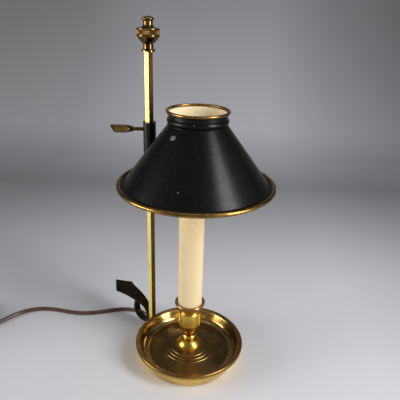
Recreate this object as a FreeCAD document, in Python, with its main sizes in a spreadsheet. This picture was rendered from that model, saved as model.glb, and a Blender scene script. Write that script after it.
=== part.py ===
"""Table lamp in the bouillotte style: a brass dish with a candle and a black cone shade on a square post.

Millimetres, +Z up. The origin is on the candle's axis at table level. The post and its thumb handle
stand on the -X side. Every size that can be set by itself is one cell of the sheet Sizes.
"""
import FreeCAD, Part
import math
import os
import re
import Sketcher
from FreeCAD import Placement, Rotation, Vector

doc = FreeCAD.newDocument("BouillotteLamp")
sizes = doc.addObject("Spreadsheet::Sheet", "Sizes")

DRIVING_SIZES = [
    # Dish: a cast and turned brass pan on a hollow foot
    ("dish_radius", 59.8),
    ("dish_height", 23.6),
    ("rim_band", 4.0),
    ("rim_lip", 4.8),
    ("rim_round", 1.1),
    ("rim_cove", 2.6),
    ("foot_inset", 11.8),
    ("foot_ring", 1.8),
    ("foot_gap", 0.4),
    ("foot_heel", 1.2),
    ("pan_inset", 12.6),
    ("pan_corner", 7.0),
    ("pan_edge_height", 10.9),
    ("pan_centre_height", 19.4),
    ("pan_wall", 2.6),
    ("groove_outer", 29.3),
    ("groove_middle", 25.4),
    ("groove_inner", 21.4),
    ("groove_width", 0.9),
    ("groove_depth", 0.45),
    # Felt and weight under the dish
    ("felt_margin", 0.6),
    ("felt_thickness", 1.6),
    ("weight_margin", 1.6),
    ("weight_thickness", 6.4),
    ("weight_boss", 12.5),
    ("nut_recess", 9.4),
    ("wire_slot", 7.0),
    # Hollow threaded rod, its nuts and washer
    ("rod_radius", 3.95),
    ("rod_bore", 2.7),
    ("rod_bottom", 6.2),
    ("thread_showing", 2.0),
    ("rod_clearance", 0.15),
    ("nut_flats", 13.0),
    ("nut_height", 4.0),
    ("washer_radius", 8.4),
    ("washer_thickness", 1.0),
    # Turned stem, cup and drip collar
    ("stem_foot_radius", 15.8),
    ("stem_bell_radius", 13.5),
    ("stem_bell_drop", 7.0),
    ("stem_neck", 7.0),
    ("stem_foot_top", 25.4),
    ("bead_radius", 7.7),
    ("bead_height", 5.6),
    ("cup_foot_radius", 4.9),
    ("cup_radius", 11.9),
    ("cup_bowl_height", 16.2),
    ("cup_side_height", 15.4),
    ("cup_neck", 10.2),
    ("cup_neck_height", 9.0),
    ("collar_radius", 16.3),
    ("collar_thickness", 2.4),
    ("collar_lip", 0.4),
    # Candle tube and what stands inside it
    ("candle_radius", 13.0),
    ("candle_wall", 1.2),
    ("candle_length", 120.0),
    ("bracket_gauge", 1.2),
    ("bracket_leg", 6.0),
    ("bracket_grip", 8.0),
    ("holder_radius", 9.4),
    ("holder_length", 49.0),
    ("holder_floor", 22.0),
    ("holder_sink", 5.0),
    ("holder_bore", 7.6),
    ("socket_gauge", 0.35),
    ("socket_length", 24.0),
    ("contact_radius", 3.0),
    ("contact_height", 4.6),
    # Lamp bulb with its small screw cap
    ("cap_radius", 6.9),
    ("cap_wall", 0.3),
    ("cap_length", 17.0),
    ("cap_insulator", 4.4),
    ("cap_tip", 1.4),
    ("bulb_radius", 17.0),
    ("bulb_length", 76.0),
    ("bulb_glass", 0.8),
    # Square post, its lug, screw and turned finial
    ("post_side", 5.8),
    ("post_top", 331.0),
    ("post_bottom", 4.0),
    ("lug_width", 6.6),
    ("lug_height", 10.5),
    ("screw_radius", 1.5),
    ("screw_head", 2.6),
    ("screw_head_height", 1.5),
    ("screw_grip", 4.6),
    ("screw_end_gap", 0.2),
    ("screw_height", 18.8),
    ("screw_fit", 0.05),
    ("stud_radius", 1.5),
    ("stud_length", 14.0),
    ("finial_flange", 6.6),
    ("finial_flange_height", 1.6),
    ("finial_neck", 4.9),
    ("finial_neck_height", 5.2),
    ("finial_body", 11.6),
    ("finial_taper_height", 6.6),
    ("finial_bead", 1.1),
    ("finial_band_height", 4.0),
    ("finial_shoulder_height", 5.4),
    ("finial_collar", 4.6),
    ("finial_collar_height", 3.6),
    ("finial_button", 6.1),
    ("finial_button_height", 4.4),
    # Strip handle: thumb leaf above, finger loop below
    ("strip_gauge", 2.2),
    ("strip_width", 8.0),
    ("strip_seat_bottom", 16.2),
    ("strip_seat_height", 5.2),
    ("leaf_width", 25.4),
    ("leaf_reach", 66.9),
    ("leaf_shoulder", 49.9),
    # Shade: painted cone with its neck, beads and rims
    ("shade_offset", 3.2),
    ("shade_drift", 1.6),
    ("shade_gauge", 0.9),
    ("shade_top", 282.6),
    ("neck_radius", 27.4),
    ("neck_height", 11.0),
    ("neck_lip", 1.4),
    ("neck_bead", 1.6),
    ("neck_bead_half", 2.6),
    ("neck_bead_drop", 7.0),
    ("neck_ridge", 1.0),
    ("cone_radius", 70.8),
    ("cone_height", 57.4),
    ("brim_width", 4.4),
    ("brim_drop", 1.4),
    ("ring_wire", 1.35),
    ("rim_wire", 2.15),
    # Sleeve that slides on the post, thumb key and pad
    ("sleeve_radius", 6.55),
    ("sleeve_length", 50.0),
    ("sleeve_rise", 20.2),
    ("sleeve_fit", 0.08),
    ("key_drop", 7.6),
    ("key_angle", 45.0),
    ("key_thread", 1.95),
    ("key_fit", 0.05),
    ("pad_length", 0.9),
    ("key_neck", 1.9),
    ("key_neck_length", 9.5),
    ("key_reach", 40.5),
    ("key_leaf_width", 8.8),
    ("key_leaf_gauge", 1.7),
    ("key_leaf_length", 22.0),
    ("key_leaf_tilt", 52.0),
    # Mains cord, its bush and plug
    ("cord_diameter", 4.8),
    ("cord_lift", 0.05),
    ("bush_angle", 9.0),
    ("bush_height", 6.5),
    ("bush_radius", 3.9),
    ("bush_tip", 2.9),
    ("bush_length", 18.0),
    ("bush_inner", 2.5),
    ("wire_radius", 1.0),
    ("wire_pitch", 2.3),
    ("relief_length", 16.0),
    ("relief_radius", 4.2),
    ("relief_tip", 2.9),
    ("plug_length", 33.0),
    ("plug_width", 30.0),
    ("plug_thickness", 13.6),
    ("plug_nose", 17.0),
    ("pin_radius", 2.0),
    ("pin_length", 19.0),
    ("pin_spacing", 19.0),
    ("coil_mean_radius", 28.8),
    ("coil_turns_in", 4.0),
    ("coil_turns_out", 3.75),
    ("coil_step", 5.6),
    ("coil_layer", 5.5),
]

for row, (alias, value) in enumerate(DRIVING_SIZES, start=1):
    sizes.set(f"A{row}", alias.replace("_", " "))
    sizes.set(f"B{row}", str(value))
    sizes.setAlias(f"B{row}", alias)
doc.recompute()

ALIASES = {alias for alias, value in DRIVING_SIZES}


def bound(text):
    """The same expression with each size's name pointing at its cell of the sheet."""
    return re.sub(r"[a-z_]+", lambda word: f"Sizes.{word.group()}" if word.group() in ALIASES else word.group(), text)


def number(text):
    return float(sizes.evalExpression(bound(text)))


def plane(body, role):
    return next(feature for feature in body.Origin.OriginFeatures if feature.Role == role)


def move(item, x="0", y="0", z="0"):
    for axis, text in zip("xyz", (x, y, z)):
        item.setExpression(f"Placement.Base.{axis}", bound(text))
    return item


def arc_between(start, end, radius):
    """Arc from start to end in the sketch plane. A positive radius bulges to the right of the way."""
    chord = end - start
    half = chord.Length / 2
    side = Vector(chord.y, -chord.x, 0).normalize()
    rise = math.sqrt(max(radius * radius - half * half, 0.0))
    sign = 1 if radius > 0 else -1
    centre = start + chord * 0.5 - side * (rise * sign)
    first, last = (start, end) if radius > 0 else (end, start)
    circle = Part.Circle(centre, Vector(0, 0, 1), abs(radius))
    return Part.ArcOfCircle(circle, circle.parameter(first), circle.parameter(last))


def outline(body, name, role, steps):
    """Closed sketch through the steps. A step is (across, up), or (across, up, radius) to arrive on an arc."""
    sketch = body.newObject("Sketcher::SketchObject", name)
    sketch.AttachmentSupport = [(plane(body, role), "")]
    sketch.MapMode = "FlatFace"
    points = [Vector(number(step[0]), number(step[1]), 0) for step in steps]
    ends = []
    for index, start in enumerate(points):
        arrival = (index + 1) % len(points)
        target = steps[arrival]
        if len(target) == 3:
            radius = number(target[2])
            sketch.addGeometry(arc_between(start, points[arrival], radius), False)
            ends.append((1, 2) if radius > 0 else (2, 1))
        else:
            sketch.addGeometry(Part.LineSegment(start, points[arrival]), False)
            ends.append((1, 2))
    for index, (first, last) in enumerate(ends):
        arrival = (index + 1) % len(points)
        sketch.addConstraint(Sketcher.Constraint("Coincident", index, last, arrival, ends[arrival][0]))
    for index, step in enumerate(steps):
        for kind, text, value in (("DistanceX", step[0], points[index].x), ("DistanceY", step[1], points[index].y)):
            datum = sketch.addConstraint(Sketcher.Constraint(kind, -1, 1, index, ends[index][0], value))
            sketch.setExpression(f"Constraints[{datum}]", bound(text))
        if len(step) == 3:
            arc = (index - 1) % len(points)
            datum = sketch.addConstraint(Sketcher.Constraint("Radius", arc, abs(number(step[2]))))
            sketch.setExpression(f"Constraints[{datum}]", bound(f"abs({step[2]})"))
    return sketch


def turned(name, steps):
    """Body of revolution about its own Z axis. The steps give radius and height."""
    body = doc.addObject("PartDesign::Body", name)
    sketch = outline(body, f"{name}_profile", "XZ_Plane", steps)
    spin = body.newObject("PartDesign::Revolution", f"{name}_turning")
    spin.Profile = sketch
    spin.ReferenceAxis = (sketch, ["V_Axis"])
    spin.Angle = 360
    body.Tip = spin
    return body


def cylinder(name, radius, height, x="0", y="0", z="0"):
    item = doc.addObject("Part::Cylinder", name)
    item.setExpression("Radius", bound(radius))
    item.setExpression("Height", bound(height))
    return move(item, x, y, z)


def block(name, length, width, height, x="0", y="0", z="0"):
    """Box centred on x and y, standing on z."""
    item = doc.addObject("Part::Box", name)
    item.setExpression("Length", bound(length))
    item.setExpression("Width", bound(width))
    item.setExpression("Height", bound(height))
    return move(item, f"{x} - ({length}) / 2", f"{y} - ({width}) / 2", z)


def hexagon(name, flats, height, z="0"):
    item = doc.addObject("Part::Prism", name)
    item.Polygon = 6
    item.setExpression("Circumradius", bound(f"{flats} / sqrt(3)"))
    item.setExpression("Height", bound(height))
    return move(item, z=z)


def cut(name, base, tool):
    item = doc.addObject("Part::Cut", name)
    item.Base = base
    item.Tool = tool
    return item


def join(name, shapes):
    item = doc.addObject("Part::MultiFuse", name)
    item.Shapes = shapes
    return item


def shared(name, shapes):
    item = doc.addObject("Part::MultiCommon", name)
    item.Shapes = shapes
    return item


def group(name, shapes):
    """Separate solids of one kind that share a node."""
    item = doc.addObject("Part::Compound", name)
    item.Links = shapes
    return item


def aim(item, angle, distance="0", x="0", y="0", z="0", spin=0.0):
    """Lays an item level, pointing angle degrees from +X, starting at the distance from (x, y)."""
    lay = Rotation(Vector(0, 0, 1), number(angle)) * Rotation(Vector(0, 1, 0), 90)
    item.Placement = Placement(Vector(0, 0, 0), lay * Rotation(Vector(0, 0, 1), spin))
    return move(item, f"{x} + ({distance}) * cos({angle})", f"{y} + ({distance}) * sin({angle})", z)


def shape_of(name, solid):
    item = doc.addObject("Part::Feature", name)
    item.Shape = solid
    return item


# Places that several pieces share
FOOT_RADIUS = "(dish_radius - foot_inset)"
PAN_RADIUS = "(dish_radius - pan_inset)"
FELT_RADIUS = f"({FOOT_RADIUS} - foot_ring - felt_margin)"
WEIGHT_RADIUS = f"({FELT_RADIUS} - weight_margin)"
STEM_HOLE = "(rod_radius + rod_clearance)"
POST_X = "(-dish_radius - post_side / 2)"
NUT_SEAT = "(rod_bottom + foot_gap)"
RECESS_TOP = f"({NUT_SEAT} + nut_height + washer_thickness)"
BEAD_BASE = "stem_foot_top"
CUP_BASE = "(stem_foot_top + bead_height)"
BOWL_TOP = f"({CUP_BASE} + cup_bowl_height)"
SIDE_TOP = f"({BOWL_TOP} + cup_side_height)"
COLLAR_BASE = f"({SIDE_TOP} + cup_neck_height)"
COLLAR_FLOOR = f"({COLLAR_BASE} + collar_thickness)"
CANDLE_TOP = f"({COLLAR_FLOOR} + candle_length)"
HOLDER_TOP = f"({CANDLE_TOP} - holder_sink)"
HOLDER_BASE = f"({HOLDER_TOP} - holder_length)"
BRACKET_BASE = f"({COLLAR_FLOOR} + nut_height)"
BRACKET_HEIGHT = f"({HOLDER_BASE} - {BRACKET_BASE} + bracket_grip)"
ROD_LENGTH = f"({BRACKET_BASE} + bracket_gauge + nut_height + thread_showing - rod_bottom)"
CONTACT_TOP = f"({HOLDER_BASE} + holder_floor + contact_height)"
CAP_BASE = f"({CONTACT_TOP} + cap_tip + cap_insulator)"
CAP_TOP = f"({CAP_BASE} + cap_length)"
SLEEVE_TOP = "(shade_top - sleeve_rise)"
KEY_HEIGHT = f"({SLEEVE_TOP} - key_drop)"
CONE_TOP = "(shade_top - neck_height)"
CONE_BOTTOM = f"({CONE_TOP} - cone_height)"
BRIM_HEIGHT = f"({CONE_BOTTOM} - brim_drop)"
BRIM_RADIUS = "(cone_radius + brim_width)"
BUSH_ANGLE = "(180 - bush_angle)"
KEY_ANGLE = "(180 + key_angle)"
SCREW_START = "(dish_radius + post_side + strip_gauge)"
SCREW_LENGTH = "(strip_gauge + post_side + screw_grip)"


def floor_at(radius):
    """Height of the pan's floor, which falls evenly from its centre to its edge."""
    fall = f"(pan_centre_height - pan_edge_height) / ({PAN_RADIUS} - {STEM_HOLE})"
    return f"(pan_edge_height + {fall} * ({PAN_RADIUS} - ({radius})))"


def underside_at(radius):
    return f"({floor_at(radius)} - pan_wall)"


def groove(radius):
    """Three points of a turned groove in the pan's floor, from its inner lip outwards."""
    inner = f"({radius} - groove_width / 2)"
    outer = f"({radius} + groove_width / 2)"
    return [(inner, floor_at(inner)), (radius, f"{floor_at(radius)} - groove_depth"), (outer, floor_at(outer))]


# Dish: pan floor, rolled corner, flared wall, milled rim band and hollow foot in one casting
dish_steps = [(STEM_HOLE, floor_at(STEM_HOLE))]
for ring in ("groove_inner", "groove_middle", "groove_outer"):
    dish_steps += groove(ring)
dish_steps += [
    (f"{PAN_RADIUS} - 2", floor_at(f"{PAN_RADIUS} - 2")),
    (f"{PAN_RADIUS} + 4.6", "pan_edge_height + 3.6", "pan_corner"),
    ("dish_radius - rim_lip", "dish_height - 1.3"),
    ("dish_radius - rim_round", "dish_height", "-9"),
    ("dish_radius", "dish_height - rim_round", "-rim_round"),
    ("dish_radius", "dish_height - rim_band"),
    ("dish_radius - 2.4", "dish_height - rim_band - 2.4", "rim_cove"),
    (f"{FOOT_RADIUS} + 1.6", "foot_gap + foot_heel"),
    (FOOT_RADIUS, "foot_gap"),
    (f"{FOOT_RADIUS} - foot_ring", "foot_gap"),
    (f"{PAN_RADIUS} + 2.8", f"{underside_at(PAN_RADIUS)} - 0.6"),
    (f"{PAN_RADIUS} - 1.7", underside_at(f"{PAN_RADIUS} - 1.7")),
    (STEM_HOLE, underside_at(STEM_HOLE)),
]
dish_casting = turned("dish_casting", dish_steps)
bush_hole = cylinder("bush_hole", "bush_radius", "foot_ring + 8")
aim(bush_hole, BUSH_ANGLE, f"{FOOT_RADIUS} - 2", z="bush_height")
rim_drilling = cylinder("rim_drilling", "screw_radius + screw_fit", f"{SCREW_LENGTH} + screw_end_gap")
aim(rim_drilling, "0", f"-{SCREW_START}", z="screw_height")
cut("dish", dish_casting, join("dish_holes", [bush_hole, rim_drilling]))

# Felt disc glued under the weight; the lamp stands on it
cylinder("felt_pad", FELT_RADIUS, "felt_thickness")

# Cast-iron weight clamped up under the pan, with a recess for the nut and a slot for the wires
weight_casting = turned("weight_casting", [
    ("nut_recess", "felt_thickness"),
    (WEIGHT_RADIUS, "felt_thickness"),
    (WEIGHT_RADIUS, "felt_thickness + weight_thickness"),
    ("weight_boss", "felt_thickness + weight_thickness"),
    ("weight_boss", underside_at("weight_boss")),
    (STEM_HOLE, underside_at(STEM_HOLE)),
    (STEM_HOLE, RECESS_TOP),
    ("nut_recess", RECESS_TOP),
])
slot_cutter = block("slot_cutter", WEIGHT_RADIUS, "wire_slot", "weight_thickness")
slot_cutter.Placement = Placement(Vector(0, 0, 0), Rotation(Vector(0, 0, 1), number(BUSH_ANGLE)))
move(slot_cutter,
     f"nut_recess / 2 * cos({BUSH_ANGLE}) + wire_slot / 2 * sin({BUSH_ANGLE})",
     f"nut_recess / 2 * sin({BUSH_ANGLE}) - wire_slot / 2 * cos({BUSH_ANGLE})",
     "felt_thickness")
cut("base_weight", weight_casting, slot_cutter)

# Hollow rod through dish, stem, cup and collar, with a nut and washer below
cut("threaded_rod", cylinder("rod_bar", "rod_radius", ROD_LENGTH, z="rod_bottom"),
    cylinder("rod_hole", "rod_bore", ROD_LENGTH, z="rod_bottom"))
cut("base_nut", hexagon("base_nut_blank", "nut_flats", "nut_height", z=NUT_SEAT),
    cylinder("base_nut_thread", "rod_radius + screw_fit", "nut_height", z=NUT_SEAT))
cut("base_washer", cylinder("washer_disc", "washer_radius", "washer_thickness", z=f"{NUT_SEAT} + nut_height"),
    cylinder("washer_hole", STEM_HOLE, "washer_thickness", z=f"{NUT_SEAT} + nut_height"))

# Turned stem foot: a small round-shouldered bell on the pan's floor
turned("stem_foot", [
    (STEM_HOLE, floor_at(STEM_HOLE)),
    ("stem_foot_radius", floor_at("stem_foot_radius")),
    ("stem_foot_radius", f"{floor_at('stem_foot_radius')} + 0.5"),
    ("stem_bell_radius", "stem_foot_top - stem_bell_drop", "-4"),
    ("stem_neck", "stem_foot_top", "11"),
    (STEM_HOLE, "stem_foot_top"),
])

# Turned bead between stem and cup
bead_swell = "(bead_radius - stem_neck + 0.4)"
turned("stem_bead", [
    (STEM_HOLE, BEAD_BASE),
    ("stem_neck - 0.4", BEAD_BASE),
    ("stem_neck - 0.4", CUP_BASE, f"((bead_height / 2)^2 + {bead_swell}^2) / (2 * {bead_swell})"),
    (STEM_HOLE, CUP_BASE),
])

# Candle cup: round bowl, straight side and waisted neck
turned("candle_cup", [
    (STEM_HOLE, CUP_BASE),
    ("cup_foot_radius", CUP_BASE),
    ("cup_foot_radius", f"{CUP_BASE} + 1.6"),
    ("cup_radius", BOWL_TOP, "17"),
    ("cup_radius", f"{SIDE_TOP} - 1"),
    ("cup_radius - 1", SIDE_TOP),
    ("cup_neck", f"{SIDE_TOP} + 2"),
    ("cup_neck + 0.2", f"{COLLAR_BASE} - 2.6"),
    ("collar_radius - 3.4", COLLAR_BASE, "-5.5"),
    (STEM_HOLE, COLLAR_BASE),
])

# Drip collar: flat turned disc with a rounded edge that the candle tube stands on
turned("drip_collar", [
    (STEM_HOLE, COLLAR_BASE),
    ("collar_radius - 3.4", COLLAR_BASE),
    ("collar_radius - 0.5", f"{COLLAR_BASE} + 0.7"),
    ("collar_radius - 0.4", f"{COLLAR_FLOOR} + collar_lip", "1.2"),
    ("collar_radius - 1.3", f"{COLLAR_FLOOR} + collar_lip"),
    ("collar_radius - 2.1", COLLAR_FLOOR),
    (STEM_HOLE, COLLAR_FLOOR),
])
cut("collar_nut", hexagon("collar_nut_blank", "nut_flats", "nut_height", z=COLLAR_FLOOR),
    cylinder("collar_nut_thread", "rod_radius + screw_fit", "nut_height", z=COLLAR_FLOOR))

# Plastic candle tube
cut("candle_tube", cylinder("tube_outside", "candle_radius", "candle_length", z=COLLAR_FLOOR),
    cylinder("tube_inside", "candle_radius - candle_wall", "candle_length", z=COLLAR_FLOOR))

# Steel bracket that stands on the collar nut and carries the lampholder
bracket_plate = cylinder("bracket_plate", "holder_radius + bracket_gauge", "bracket_gauge", z=BRACKET_BASE)
bracket_legs = [
    block(f"bracket_leg_{word}", "bracket_gauge", "bracket_leg", BRACKET_HEIGHT,
          x=f"{side} * (holder_radius + bracket_gauge / 2)", z=BRACKET_BASE)
    for word, side in (("left", "-1"), ("right", "1"))
]
cut("holder_bracket", join("bracket_blank", [bracket_plate, *bracket_legs]),
    cylinder("bracket_hole", STEM_HOLE, "bracket_gauge", z=BRACKET_BASE))
cut("bracket_nut", hexagon("bracket_nut_blank", "nut_flats", "nut_height", z=f"{BRACKET_BASE} + bracket_gauge"),
    cylinder("bracket_nut_thread", "rod_radius + screw_fit", "nut_height", z=f"{BRACKET_BASE} + bracket_gauge"))

# Lampholder: moulded body, screwed shell and centre contact
cut("holder_body", cylinder("holder_moulding", "holder_radius", "holder_length", z=HOLDER_BASE),
    cylinder("holder_bore_cut", "holder_bore", "holder_length - holder_floor", z=f"{HOLDER_BASE} + holder_floor"))
SHELL_BASE = f"({HOLDER_TOP} - socket_length - 2)"
cut("holder_shell", cylinder("shell_outside", "holder_bore", "socket_length", z=SHELL_BASE),
    cylinder("shell_inside", "holder_bore - socket_gauge", "socket_length", z=SHELL_BASE))
cylinder("holder_contact", "contact_radius", "contact_height", z=f"{HOLDER_BASE} + holder_floor")

# Candle bulb: solder tip, insulator, screw cap, glass mount and blown glass
cylinder("bulb_tip", "contact_radius", "cap_tip", z=CONTACT_TOP)
cylinder("bulb_insulator", "cap_radius - 2.4", "cap_insulator", z=f"{CONTACT_TOP} + cap_tip")
turned("bulb_cap", [
    ("0", CAP_BASE),
    ("cap_radius - 2.4", CAP_BASE),
    ("cap_radius", f"{CAP_BASE} + 2"),
    ("cap_radius", CAP_TOP),
    ("cap_radius - cap_wall", CAP_TOP),
    ("cap_radius - cap_wall", f"{CAP_BASE} + 2.4"),
    ("0", f"{CAP_BASE} + 1"),
])
turned("bulb_glass", [
    ("cap_radius - bulb_glass", CAP_TOP, "-54.5"),
    ("cap_radius", CAP_TOP),
    ("bulb_radius", f"{CAP_TOP} + 0.42 * bulb_length", "55.3"),
    ("2.4", f"{CAP_TOP} + bulb_length - 2", "68"),
    ("0.5", f"{CAP_TOP} + bulb_length", "2.8"),
    ("0", f"{CAP_TOP} + bulb_length"),
    ("0", f"{CAP_TOP} + bulb_length - bulb_glass"),
    ("1.9", f"{CAP_TOP} + bulb_length - 3.4"),
    ("bulb_radius - bulb_glass", f"{CAP_TOP} + 0.42 * bulb_length", "-68"),
])
turned("bulb_mount", [
    ("0", CAP_TOP),
    ("cap_radius - bulb_glass", CAP_TOP),
    ("cap_radius - bulb_glass", f"{CAP_TOP} + 1.5"),
    ("2.4", f"{CAP_TOP} + 5"),
    ("1.4", f"{CAP_TOP} + 26"),
    ("0", f"{CAP_TOP} + 26"),
])

# Square post against the rim, drilled for its screw and for the finial's stud
post_bar = block("post_bar", "post_side", "post_side", "post_top - post_bottom", x=POST_X, z="post_bottom")
post_drilling = cylinder("post_drilling", "screw_radius + screw_fit", SCREW_LENGTH)
aim(post_drilling, "0", f"-{SCREW_START}", z="screw_height")
stud_drilling = cylinder("stud_drilling", "stud_radius + screw_fit", "stud_length / 2", x=POST_X,
                         z="post_top - stud_length / 2")
cut("square_post", post_bar, join("post_holes", [post_drilling, stud_drilling]))

# Brass lug brazed to the dish's wall; it steadies the foot of the post
lug_blank = doc.addObject("Part::Box", "lug_blank")
lug_blank.setExpression("Length", bound("foot_inset"))
lug_blank.setExpression("Width", bound("lug_width"))
lug_blank.setExpression("Height", bound("lug_height"))
move(lug_blank, "-dish_radius", "-lug_width / 2", "post_bottom")
wall_cone = doc.addObject("Part::Cone", "wall_cone")
wall_cone.setExpression("Radius1", bound(f"{FOOT_RADIUS} + 1.6"))
wall_cone.setExpression("Radius2", bound("dish_radius - 2.4"))
wall_cone.setExpression("Height", bound("dish_height - rim_band - 2.4 - foot_gap - foot_heel"))
move(wall_cone, z="foot_gap + foot_heel")
cut("post_lug", lug_blank, wall_cone)

# Round-headed screw through strip and post into the dish's rim
screw_shank = cylinder("screw_shank", "screw_radius", SCREW_LENGTH)
aim(screw_shank, "0", f"-{SCREW_START}", z="screw_height")
screw_top = cylinder("screw_top", "screw_head", "screw_head_height")
aim(screw_top, "0", f"-{SCREW_START} - screw_head_height", z="screw_height")
screw_nick = block("screw_nick", "screw_head_height", "0.9", "2 * screw_head",
                   x=f"-{SCREW_START} - screw_head_height", z="screw_height - screw_head")
cut("post_screw", join("screw_blank", [screw_shank, screw_top]), screw_nick)

# Finial: turned urn with two bead edges, held by a plain stud
URN_BASE = "(post_top + finial_flange_height)"
NECK_TOP = f"({URN_BASE} + finial_neck_height)"
BAND_BASE = f"({NECK_TOP} + finial_taper_height)"
BAND_TOP = f"({BAND_BASE} + 2 * finial_bead)"
SHOULDER_BASE = f"({BAND_TOP} + finial_band_height)"
SHOULDER_TOP = f"({SHOULDER_BASE} + finial_shoulder_height - finial_bead)"
BUTTON_BASE = f"({SHOULDER_TOP} + finial_collar_height)"
finial_urn = turned("finial_urn", [
    ("0", "post_top"),
    ("finial_flange", "post_top"),
    ("finial_flange", URN_BASE),
    ("finial_neck", f"{URN_BASE} + 1"),
    ("finial_neck", NECK_TOP),
    ("finial_body - 0.9", BAND_BASE, "22"),
    ("finial_body - 0.9", f"{BAND_BASE} + 1.8", "finial_bead"),
    ("finial_body - 0.9", f"{SHOULDER_BASE} - 0.2"),
    ("finial_body - 0.9", f"{SHOULDER_BASE} + 1.6", "finial_bead"),
    ("finial_collar", SHOULDER_TOP, "-6"),
    ("finial_collar", f"{BUTTON_BASE} - 0.6"),
    ("finial_button", f"{BUTTON_BASE} + finial_button_height - 2.8", "-3"),
    ("finial_button", f"{BUTTON_BASE} + finial_button_height - 2.2"),
    ("0.5", f"{BUTTON_BASE} + finial_button_height", "9"),
    ("0", f"{BUTTON_BASE} + finial_button_height"),
])
move(finial_urn, x=POST_X)
stud_socket = cylinder("stud_socket", "stud_radius + screw_fit", "stud_length / 2", x=POST_X, z="post_top")
cut("finial", finial_urn, stud_socket)
cylinder("finial_stud", "stud_radius", "stud_length - 0.4", x=POST_X, z="post_top - stud_length / 2 + 0.2")


def strip(name, points, start_way, end_way, width):
    """Bent strip whose centre line runs through the points, in the plane of the post."""
    middle = Part.BSplineCurve()
    middle.interpolate(Points=[Vector(HANDLE_X - reach, 0, z) for reach, z in points], Scale=False,
                       InitialTangent=Vector(*start_way).normalize(), FinalTangent=Vector(*end_way).normalize())
    samples = [middle.FirstParameter + (middle.LastParameter - middle.FirstParameter) * step / 60 for step in range(61)]
    sides = []
    for half in (-number("strip_gauge") / 2, number("strip_gauge") / 2):
        offsets = []
        for sample in samples:
            way = middle.tangent(sample)[0]
            offsets.append(middle.value(sample) + Vector(-way.z, 0, way.x) * half)
        side = Part.BSplineCurve()
        side.interpolate(offsets)
        sides.append(side)
    ends = [Part.makeLine(sides[0].StartPoint, sides[1].StartPoint),
            Part.makeLine(sides[0].EndPoint, sides[1].EndPoint)]
    border = [sides[0].toShape(), ends[1], sides[1].toShape(), ends[0]]
    face = Part.Face(Part.Wire(Part.__sortEdges__(border)))
    solid = face.extrude(Vector(0, width, 0))
    solid.translate(Vector(0, -width / 2, 0))
    return shape_of(name, solid)


# Handle: one brass strip, flat on the post, with a thumb leaf above and a finger loop below.
# Its points give the reach out from its seat on the post, and the height.
HANDLE_X = number("-dish_radius - post_side - strip_gauge / 2")
SEAT_BOTTOM = number("strip_seat_bottom")
SEAT_TOP = number("strip_seat_bottom + strip_seat_height")
leaf_line = [
    (number("leaf_reach"), 39.8), (57.4, 38.9), (number("leaf_shoulder"), 38.5), (41.4, 38.0), (32.4, 37.7),
    (23.8, 36.9), (17.0, 35.7), (12.0, 34.1), (7.6, 31.9), (4.0, 29.0), (1.5, 25.6), (0.0, SEAT_TOP),
]
loop_line = [
    (0.0, SEAT_BOTTOM), (1.3, 13.2), (4.4, 11.1), (8.8, 9.9), (13.6, 9.6), (18.4, 10.7), (22.4, 13.7), (24.6, 18.4),
    (24.9, 24.6), (23.6, 30.6), (22.6, 34.2),
]
leaf_half_widths = [
    (number("leaf_shoulder"), number("leaf_width / 2")), (45.0, 11.2), (38.4, 9.7), (32.4, 8.8), (25.4, 7.8),
    (19.4, 6.8), (13.4, 5.6), (7.4, 4.6), (1.9, number("strip_width / 2")),
]
leaf_ribbon = strip("leaf_ribbon", leaf_line, (1, 0, -0.08), (0, 0, -1), number("leaf_width"))
loop_ribbon = strip("loop_ribbon", loop_line, (0, 0, -1), (0.3, 0, 1), number("strip_width"))
plan_edges = []
for side in (-1, 1):
    border = Part.BSplineCurve()
    border.interpolate([Vector(HANDLE_X - reach, side * half, 0) for reach, half in leaf_half_widths])
    apex = Vector(HANDLE_X - number("leaf_reach"), 0, 0)
    plan_edges += [Part.makeLine(apex, border.StartPoint), border.toShape(),
                   Part.makeLine(border.EndPoint, Vector(HANDLE_X + number("strip_gauge"), border.EndPoint.y, 0))]
plan_edges.append(Part.makeLine(plan_edges[2].lastVertex().Point, plan_edges[5].lastVertex().Point))
plan_face = Part.Face(Part.Wire(Part.__sortEdges__(plan_edges)))
leaf_plan = shape_of("leaf_plan", plan_face.extrude(Vector(0, 0, number("post_top"))))
leaf = shared("leaf", [leaf_ribbon, leaf_plan])
straight = block("handle_straight", "strip_gauge", "strip_width", "strip_seat_height",
                 x="-dish_radius - post_side - strip_gauge / 2", z="strip_seat_bottom")
handle_drilling = cylinder("handle_drilling", "screw_radius + screw_fit", SCREW_LENGTH)
aim(handle_drilling, "0", f"-{SCREW_START}", z="screw_height")
handle = cut("handle", join("handle_blank", [leaf, straight, loop_ribbon]), handle_drilling)

# Shade: spun cone with a round bead and a small ridge on its neck, a turned-out top edge and a flat brim
shade_sheet = turned("shade_sheet", [
    ("neck_radius - shade_gauge", "shade_top"),
    ("neck_radius + neck_lip", "shade_top"),
    ("neck_radius + neck_lip", "shade_top - 0.8"),
    ("neck_radius", "shade_top - 1.4"),
    ("neck_radius", "shade_top - neck_bead_drop + neck_bead_half"),
    ("neck_radius", "shade_top - neck_bead_drop - neck_bead_half",
     "-(neck_bead_half^2 + neck_bead^2) / (2 * neck_bead)"),
    ("neck_radius + neck_ridge", f"{CONE_TOP} + 0.9"),
    ("neck_radius + neck_ridge", f"{CONE_TOP} + 0.3"),
    ("neck_radius + 0.5", CONE_TOP),
    ("cone_radius", CONE_BOTTOM),
    (BRIM_RADIUS, BRIM_HEIGHT),
    (BRIM_RADIUS, f"{BRIM_HEIGHT} - shade_gauge"),
    ("cone_radius - 0.9 * shade_gauge", f"{CONE_BOTTOM} - 0.8 * shade_gauge"),
    ("neck_radius - shade_gauge", f"{CONE_TOP} - 0.35 * shade_gauge"),
])
move(shade_sheet, "shade_offset", "shade_drift")
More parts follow.
